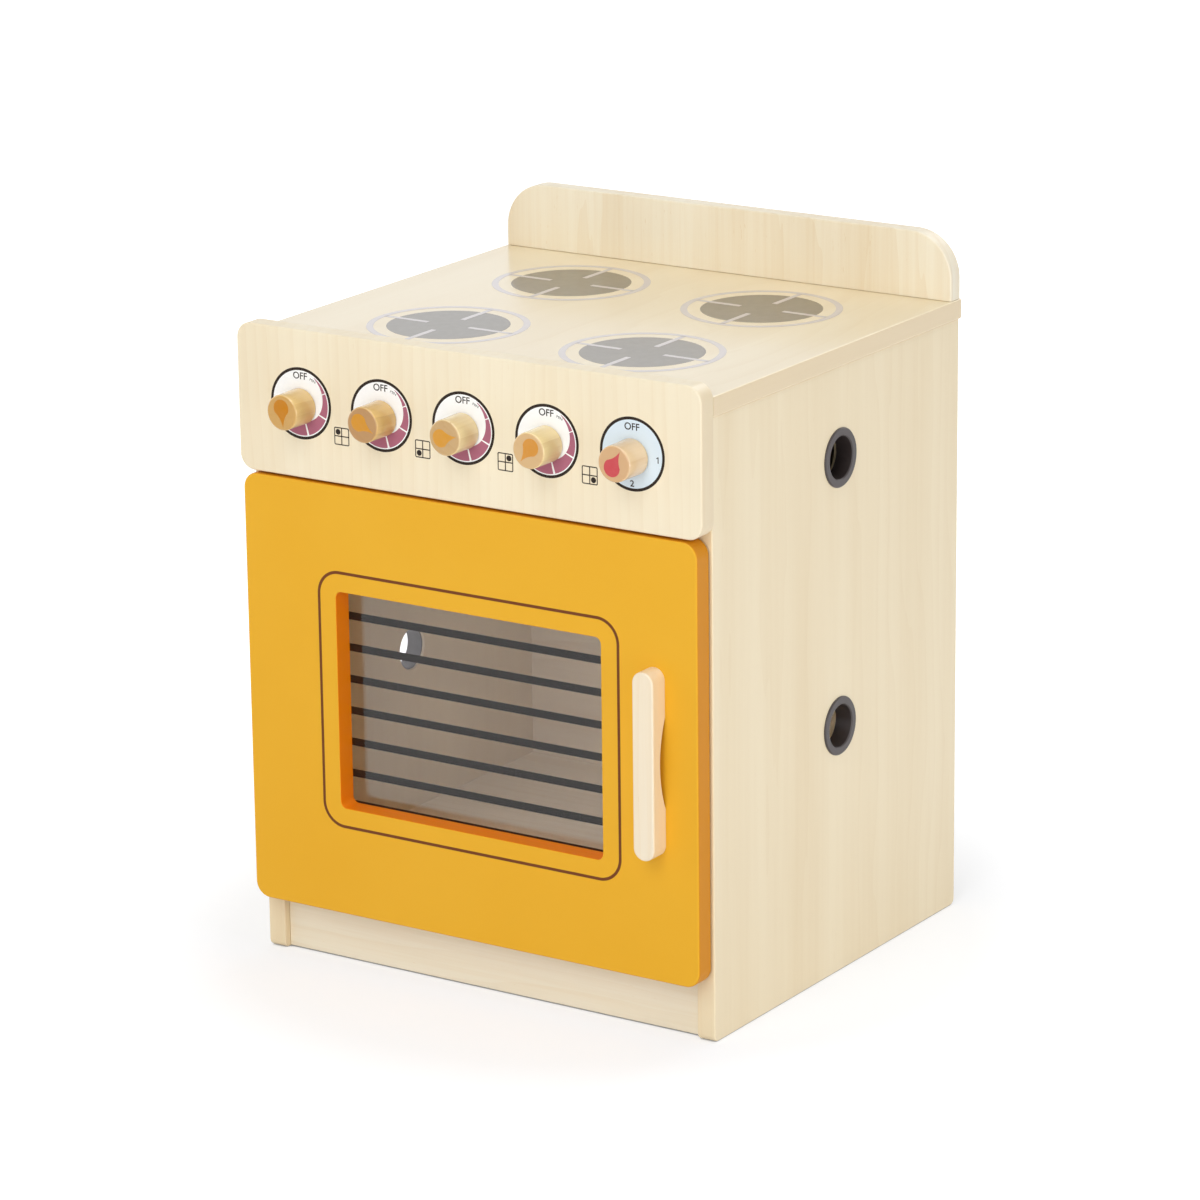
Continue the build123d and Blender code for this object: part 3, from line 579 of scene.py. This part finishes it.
# Screen ink: a flat colour, a little uneven from the squeegee's pass, with the fine
# weave of the screen in its surface.
ink_film, film_in, film_out = effect(
    "screen_ink",
    [("Vector", "Vector", None), ("Ink", "Color", (0.1, 0.1, 0.1, 1)), ("Unevenness", "Float", 0.1)],
    [("Color", "Color"), ("Height", "Float"), ("Dulling", "Float")],
)
mottle_lumps = (150, 150, 150)
mottle_range = (0.3, 0.8)
weave_lumps = (1800, 1800, 1800)
ink_thinning = 0.4
bare_screen_tone = (0.6, 0.56, 0.5, 1)
mottle = stretched_noise(ink_film, film_in["Vector"], mottle_lumps, detail=4.0, roughness=0.6)
weave = stretched_noise(ink_film, film_in["Vector"], weave_lumps, detail=1.0)
lighter = blended(ink_film, ink_thinning, film_in["Ink"], bare_screen_tone)
ink_mask = calc(ink_film, "MULTIPLY", between(ink_film, mottle, *mottle_range), film_in["Unevenness"])
ink_film.links.new(blended(ink_film, ink_mask, film_in["Ink"], lighter), film_out.inputs["Color"])
ink_film.links.new(weave, film_out.inputs["Height"])
ink_film.links.new(mottle, film_out.inputs["Dulling"])

weave_depth = 0.000002
mottle_dulling = 0.15


def screen_ink(name, tone, uneven=0.05, gloss=0.12, satin=0.5, gloss_coat=0.0, coat_blur=0.2):
    """Printed ink of one colour, matt unless the board's own lacquer lies over it."""
    finish, tree = new_finish(name)
    spot = place(tree, "TexCoord").outputs["Object"]
    film = use(tree, ink_film, {"Vector": spot, "Ink": tone, "Unevenness": uneven})
    surface = place(tree, "BsdfPrincipled", {
        "Base Color": film["Color"],
        "Roughness": calc(tree, "ADD", calc(tree, "MULTIPLY", film["Dulling"], mottle_dulling), satin),
        "Specular IOR Level": gloss, "Coat Weight": gloss_coat, "Coat Roughness": coat_blur,
    })
    finished(tree, surface, film["Height"], weave_depth)
    return finish


burner_radius = 45.7
bar_overlap = 0.5
ring_outer = 60.4
ring_inner = 55.2
bar_width = 4.2
bar_inner_end = 18.3
burner_places = {
    "front_left": (-83.0, -69.0), "front_right": (86.0, -69.0),
    "rear_left": (-81.6, 93.0), "rear_right": (88.4, 91.4),
}
worktop_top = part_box("worktop")[1].z
disc_ink = screen_ink("burner_dark", colour(56, 45, 16), uneven=0.03, gloss=0.5, satin=0.3,
                      gloss_coat=0.95, coat_blur=0.15)
ring_ink = screen_ink("burner_lilac", colour(200, 192, 193), uneven=0.05, gloss=0.5, satin=0.3,
                      gloss_coat=1.0, coat_blur=0.15)
bar_outer_end = ring_inner + bar_overlap
bars = [
    bar(-bar_width / 2, bar_inner_end, bar_width / 2, bar_outer_end),
    bar(-bar_width / 2, -bar_outer_end, bar_width / 2, -bar_inner_end),
    bar(bar_inner_end, -bar_width / 2, bar_outer_end, bar_width / 2),
    bar(-bar_outer_end, -bar_width / 2, -bar_inner_end, bar_width / 2),
]
for place_name, (x, y) in burner_places.items():
    printed(f"burner_print_{place_name}", "carcass", top_plane,
            (x * mm, y * mm, worktop_top), [
                (disc_ink, 0, [layer([circle(burner_radius)])]),
                (ring_ink, 1, [layer([circle(ring_outer), circle(ring_inner)])]
                 + [layer([each]) for each in bars]),
            ])

# ================================================================ the printed dials
# Round each knob a dial is printed on the panel: a white or pale blue disc in a
# brown ring, with a plum scale that widens as the heat rises. Between them, a small
# grid shows by a dot which burner the knob works.
dial_ring_outer = 26.9
dial_ring_inner = 24.75
scale_outer = 23.9
scale_start = 31.0
scale_full = 145.0
scale_thin = 23.5
scale_wide = 14.7
scale_steps = 16
scale_breaks = ((31.0, 64.6), (66.4, 111.4), (114.6, 163.4), (167.6, 214.0))
knob_pitch = 0.0715
dial_height = 0.43315
panel_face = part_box("control_panel")[0].y
front_plane = Matrix(((1, 0, 0, 0), (0, 0, -1, 0), (0, 1, 0, 0), (0, 0, 0, 1)))

dial_white = screen_ink("dial_white", colour(254, 255, 255), uneven=0.01, gloss=0.4)
dial_blue = screen_ink("dial_blue", colour(221, 236, 246), uneven=0.03, gloss=0.4)
dial_brown = screen_ink("dial_brown", colour(44, 34, 27))
dial_plum = screen_ink("dial_plum", colour(175, 106, 127))
letter_brown = screen_ink("letter_brown", colour(44, 36, 32))


def scale_inner(angle):
    """Inner radius of the plum scale, which widens up to its full heat."""
    share = min(1.0, (angle - scale_start) / (scale_full - scale_start))
    return scale_thin + (scale_wide - scale_thin) * share


def scale_piece(start, end):
    """One block of the plum scale, wider at its hot end."""
    angles = [start + (end - start) * i / scale_steps for i in range(scale_steps + 1)]
    outer = [(scale_outer * sin(radians(a)), scale_outer * cos(radians(a))) for a in angles]
    inner = [(scale_inner(a) * sin(radians(a)), scale_inner(a) * cos(radians(a)))
             for a in reversed(angles)]
    return layer([outer + inner])


capital_share = 0.72


def letters(text, height, centre, turn=0.0, weight=0.0, wide=1.0):
    """Plain letters one ink layer thick, of a given capital height, centred on a point."""
    words = bpy.data.curves.new("ink", "FONT")
    words.body = text
    words.size = height / capital_share
    words.offset = weight
    words.extrude = ink_thickness / mm / 2
    words.align_x = "CENTER"
    words.align_y = "CENTER"
    way = Matrix.Rotation(radians(turn), 4, "Z") @ Matrix.Diagonal((wide, 1, 1, 1))
    return words, Matrix.Translation((*centre, 0)) @ way


off_height = 5.2
off_weight = 0.08
off_place = (-0.3, 20.4)
blue_off_place = (-0.1, 19.5)
min_height = 2.0
min_place = (10.9, 18.1)
min_turn = -22
min_width = 1.15
one_place = (21.1, -1.8)
two_height = 4.6
two_weight = 0.12
two_width = 1.1
two_place = (-0.3, -21.5)
digit_one = [(-0.1, -2.3), (0.6, -2.3), (0.6, 2.3), (0.1, 2.3), (-1.2, 1.5), (-1.2, 0.8), (-0.1, 1.3)]
ring_shape = [circle(dial_ring_outer), circle(dial_ring_inner)]
for number in range(1, 6):
    spot = ((number - 3) * knob_pitch, panel_face, dial_height)
    layers = [
        (dial_blue if number == 5 else dial_white, 0, [layer([circle(dial_ring_inner)])]),
        (dial_brown, 0, [layer(ring_shape)]),
    ]
    if number == 5:
        layers.append((letter_brown, 1, [
            letters("OFF", off_height, blue_off_place, weight=off_weight),
            layer([[(x + one_place[0], y + one_place[1]) for x, y in digit_one]]),
            letters("2", two_height, two_place, weight=two_weight, wide=two_width),
        ]))
    else:
        layers.append((dial_plum, 1, [scale_piece(*ends) for ends in scale_breaks]))
        layers.append((letter_brown, 1, [
            letters("OFF", off_height, off_place, weight=off_weight),
            letters("MIN", min_height, min_place, turn=min_turn, wide=min_width),
        ]))
    printed(f"dial_print_{number}", "carcass", front_plane, spot, layers)


def rounded_bar(width, height, corner, steps=10):
    """Points round a rectangle with round corners."""
    across, up = width / 2 - corner, height / 2 - corner
    corners = ((across, up, 0), (across, -up, 90), (-across, -up, 180), (-across, up, 270))
    points = []
    for x, y, start in corners:
        points += arc(corner, start, start + 90, steps, (x, y))
    return points


icon_size = 13.3
icon_line = 0.8
icon_corner = 1.3
icon_dot = 2.15
icon_from_dial = 0.0358
icon_height = 0.4130
icon_dot_steps = 32
icon_dots = ((-1, 1), (-1, -1), (1, 1), (1, -1))
icon_outline = [
    rounded_bar(icon_size, icon_size, icon_corner),
    rounded_bar(icon_size - 2 * icon_line, icon_size - 2 * icon_line, icon_corner - icon_line),
]
half = icon_size / 2 - icon_line / 2
icon_cross = [
    bar(-half, -icon_line / 2, half, icon_line / 2),
    bar(-icon_line / 2, -half, icon_line / 2, half),
]
for number, (right, up) in enumerate(icon_dots, start=1):
    spot = ((number - 3) * knob_pitch + icon_from_dial, panel_face, icon_height)
    cell = (icon_size - icon_line) / 4
    printed(f"burner_sign_{number}", "carcass", front_plane, spot, [
        (letter_brown, 0, [layer(icon_outline)]),
        (letter_brown, 1, [layer([each]) for each in icon_cross]),
        (letter_brown, 1, [layer([circle(icon_dot, (right * cell, up * cell), icon_dot_steps)])]),
    ])


# ======================================================================= the knobs
# Five turned knobs in amber-lacquered wood, each with a printed drop that points to
# its setting. A steel bolt in a brass insert runs in a nylon bush through the panel.
knob_tones = (
    (colour(239, 204, 132), colour(193, 139, 32)),
    (colour(240, 200, 120), colour(168, 114, 44)),
    (colour(253, 231, 174), colour(186, 141, 74)),
    (colour(253, 231, 168), colour(205, 160, 100)),
    (colour(236, 206, 160), colour(204, 155, 98)),
)
drop_tones = (
    colour(200, 128, 20), colour(214, 148, 46), colour(218, 154, 56), colour(216, 148, 58),
    colour(205, 76, 82),
)
drop_turns = (174.0, 118.0, 80.0, 218.0, 29.0)
drop_radius = 6.6
drop_centre = -3.3
drop_tip = 10.8
drop_shoulder = 62.0
drop_pinch = (1.4, 3.5)

shoulder_steps = 40
flank_steps = 10
shoulder = arc(drop_radius, drop_shoulder, 360 - drop_shoulder, shoulder_steps, (0.0, drop_centre))


def flank(start, pinch, tip):
    """A hollow curve from the round of the drop to its tip."""
    points = []
    for i in range(1, flank_steps):
        t = i / flank_steps
        points.append(tuple(
            (1 - t) ** 2 * a + 2 * t * (1 - t) * b + t * t * c for a, b, c in zip(start, pinch, tip)
        ))
    return points


drop_outline = shoulder + flank(shoulder[-1], (-drop_pinch[0], drop_pinch[1]), (0.0, drop_tip))
drop_outline += [(0.0, drop_tip)]
drop_outline += list(reversed(flank(shoulder[0], drop_pinch, (0.0, drop_tip))))
steel = plated_metal("knob_bolt_steel", colour(200, 202, 206), (0.25, 0.42), (900, 200, 900))
brass = plated_metal("insert_brass", colour(214, 178, 96), (0.25, 0.4), (900, 200, 900))
knob_looks = zip(knob_tones, drop_tones, drop_turns)
for number, ((pale, dark), drop_tone, turn) in enumerate(knob_looks, start=1):
    # The face blends towards the darker tone: painted shade that leaves it darker than its paler sides.
    coat(board_wood(f"knob_wood_{number}", "deep", (0.2 * number, 0.0, 0.3 * number), pale, dark,
                    bands=0.25, growth=0.2, streaks=0.18, flecks=0.7, satin=0.3, gloss_coat=0.9,
                    coat_blur=0.06, soak_and_shade_axis="Y", soak_and_shade=0.85),
         f"knob_{number}")
    low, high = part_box(f"knob_{number}")
    angle = radians(turn)
    turned = [(x * cos(angle) + y * sin(angle), -x * sin(angle) + y * cos(angle))
              for x, y in drop_outline]
    drop_ink = screen_ink(f"drop_ink_{number}", drop_tone, uneven=0.15, gloss=0.2)
    printed(f"drop_print_{number}", f"knob {number}", front_plane,
            ((low.x + high.x) / 2, low.y, (low.z + high.z) / 2), [(drop_ink, 0, [layer([turned])])])
    coat(steel, f"knob_bolt_{number}", f"knob_washer_{number}")
    coat(brass, f"knob_insert_{number}")
coat(moulded_plastic("white_nylon", colour(232, 232, 226), (0.35, 0.45)), "knob_bushes")

# ======================================================================== the door
# A 16 mm board hung on two hinges, sprayed orange-yellow, with a thin brown line
# printed round its window. The front face's colour is paler than the paint, with a
# painted reflection of the white room in it; faces turned away from the front show
# a deeper orange in the window and a duller ochre on the outer edges.
window_middle = 0.212
window_half = (0.1155, 0.0833)
window_margin = (1.1, 1.15)
spray_lumps = (9, 9, 9)
spray_range = (0.3, 0.75)
spray_sheen = (0.36, 0.44)
peel_lumps = (420, 420, 420)
peel_depth = 0.00001
edge_starts = 0.85
edge_is_full = 0.4
# The face colours hold a painted reflection of the white room as well as the orange paint.
face_orange_and_sheen = colour(237, 179, 45)
face_orange_thin_and_sheen = colour(235, 175, 40)
window_edge_orange = colour(250, 136, 2)
outer_edge_ochre = colour(212, 136, 8)
paint, paint_tree = new_finish("door_orange")
paint_spot = place(paint_tree, "TexCoord").outputs["Object"]
spray = stretched_noise(paint_tree, paint_spot, spray_lumps)
peel = stretched_noise(paint_tree, paint_spot, peel_lumps)
face_tone = blended(paint_tree, between(paint_tree, spray, *spray_range), face_orange_and_sheen, face_orange_thin_and_sheen)
paint_normal = place(paint_tree, "TexCoord").outputs["Normal"]
facing = place(paint_tree, "SeparateXYZ", {0: paint_normal}).outputs["Y"]
edge_mask = between(paint_tree, calc(paint_tree, "ABSOLUTE", facing), edge_starts, edge_is_full)
paint_place = place(paint_tree, "SeparateXYZ", {0: paint_spot}).outputs
sideways = calc(paint_tree, "DIVIDE", calc(paint_tree, "ABSOLUTE", paint_place["X"]), window_half[0])
upwards = calc(paint_tree, "ABSOLUTE", calc(paint_tree, "SUBTRACT", paint_place["Z"], window_middle))
beyond = calc(paint_tree, "MAXIMUM", sideways, calc(paint_tree, "DIVIDE", upwards, window_half[1]))
edge_tone = blended(paint_tree, between(paint_tree, beyond, *window_margin), window_edge_orange,
                    outer_edge_ochre)
paint_tone = blended(paint_tree, edge_mask, face_tone, edge_tone)
paint_surface = place(paint_tree, "BsdfPrincipled", {
    "Base Color": paint_tone,
    "Roughness": spread(paint_tree, spray, spray_sheen),
    "Specular IOR Level": 0.2,
})
finished(paint_tree, paint_surface, peel, peel_depth)
coat(paint, "door_panel")

line_width = 2.3
line_outer = (263.0, 197.9)
line_corner = 19.0
line_height = 0.21225
door_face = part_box("door_panel")[0].y
line_brown = screen_ink("line_brown", colour(116, 64, 30))
printed("door_line_print", "door", front_plane, (0.0, door_face, line_height), [
    (line_brown, 0, [layer([
        rounded_bar(*line_outer, line_corner, steps=20),
        rounded_bar(line_outer[0] - 2 * line_width, line_outer[1] - 2 * line_width,
                    line_corner - line_width, steps=20),
    ])]),
])

# ================================================================= the window pane
# A sheet of smoked acrylic screwed behind the door, with the bars of an oven rack
# printed across its back as dark stripes. The lowest of the seven stripes lies along
# the pane's bottom edge: a painted shadow line in the gap under the window.
dust_lumps = (260, 260, 260)
smoke_lumps = (14, 14, 14)
pane, pane_tree = new_finish("smoked_acrylic")
pane_spot = place(pane_tree, "TexCoord").outputs["Object"]
dust = stretched_noise(pane_tree, pane_spot, dust_lumps, detail=3.0)
smoke = stretched_noise(pane_tree, pane_spot, smoke_lumps, detail=1.0)
smoke_tone = blended(pane_tree, smoke, colour(252, 250, 253), colour(250, 248, 251))
pane_surface = place(pane_tree, "BsdfPrincipled", {
    "Base Color": smoke_tone,
    "Roughness": place(pane_tree, "MapRange", {
        "Value": dust, "From Min": 0.4, "From Max": 0.8, "To Min": 0.0, "To Max": 0.03,
    }).outputs[0],
    "IOR": 1.44, "Transmission Weight": 1.0,
})
lamp_way = place(pane_tree, "BsdfTransparent", {"Color": colour(254, 253, 254)})
pane_mix = place(pane_tree, "MixShader", {
    0: place(pane_tree, "LightPath").outputs["Is Shadow Ray"],
    1: pane_surface.outputs[0], 2: lamp_way.outputs[0],
})
place(pane_tree, "OutputMaterial", {"Surface": pane_mix.outputs[0]})
coat(pane, "window_pane")

stripe_width = 6.0
stripe_half_length = 120.5
stripe_top = 272.5
stripe_pitch = 24.3
# The seventh stripe, at the pane's bottom edge, is a painted shadow line.
stripe_count = 7
pane_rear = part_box("window_pane")[1].y
rear_plane = Matrix(((1, 0, 0, 0), (0, 0, 1, 0), (0, 1, 0, 0), (0, 0, 0, 1)))
stripe_ink = screen_ink("stripe_grey", colour(45, 37, 30))
printed("pane_stripe_print", "door", rear_plane, (0.0, pane_rear, 0.0), [
    (stripe_ink, 0, [
        layer([bar(-stripe_half_length, height - stripe_width / 2,
                   stripe_half_length, height + stripe_width / 2)])
        for height in (stripe_top - stripe_pitch * i for i in range(stripe_count))
    ]),
])

# ====================================================================== the handle
# A round-ended bar of pale wood with a hollow for the fingers behind it, held by two
# screws from inside the door.
# Its faces turned sideways blend towards a darker, more orange tone: painted shade with the door's
# orange bounce light.
coat(board_wood("handle_maple", "up", (0.7, 0.33, 0.2), colour(246, 234, 211), colour(234, 205, 158),
                bands=0.2, growth=0.15, flecks=0.2, satin=0.4, gloss_coat=0.2, soak_and_shade=0.7),
     "door_handle")

# ============================================================= the hinges and catch
# Two small steel butt hinges behind the left edge, and a magnetic catch inside on
# the right: a moulded case, a ferrite magnet between steel poles, a strike plate.
hinge_steel = plated_metal("hinge_steel", colour(198, 200, 204), (0.28, 0.46), (300, 300, 1400))
coat(hinge_steel, "lower_hinge_frame_leaf", "upper_hinge_frame_leaf", "lower_hinge_door_leaf",
     "upper_hinge_door_leaf", "lower_hinge_pin", "upper_hinge_pin", "strike_plate", "catch_pole_plates")
coat(moulded_plastic("catch_case", colour(222, 218, 206), (0.4, 0.5)), "catch_housing")
coat(moulded_plastic("ferrite", colour(48, 48, 52), (0.6, 0.75), speckle=0.00006), "catch_magnet")
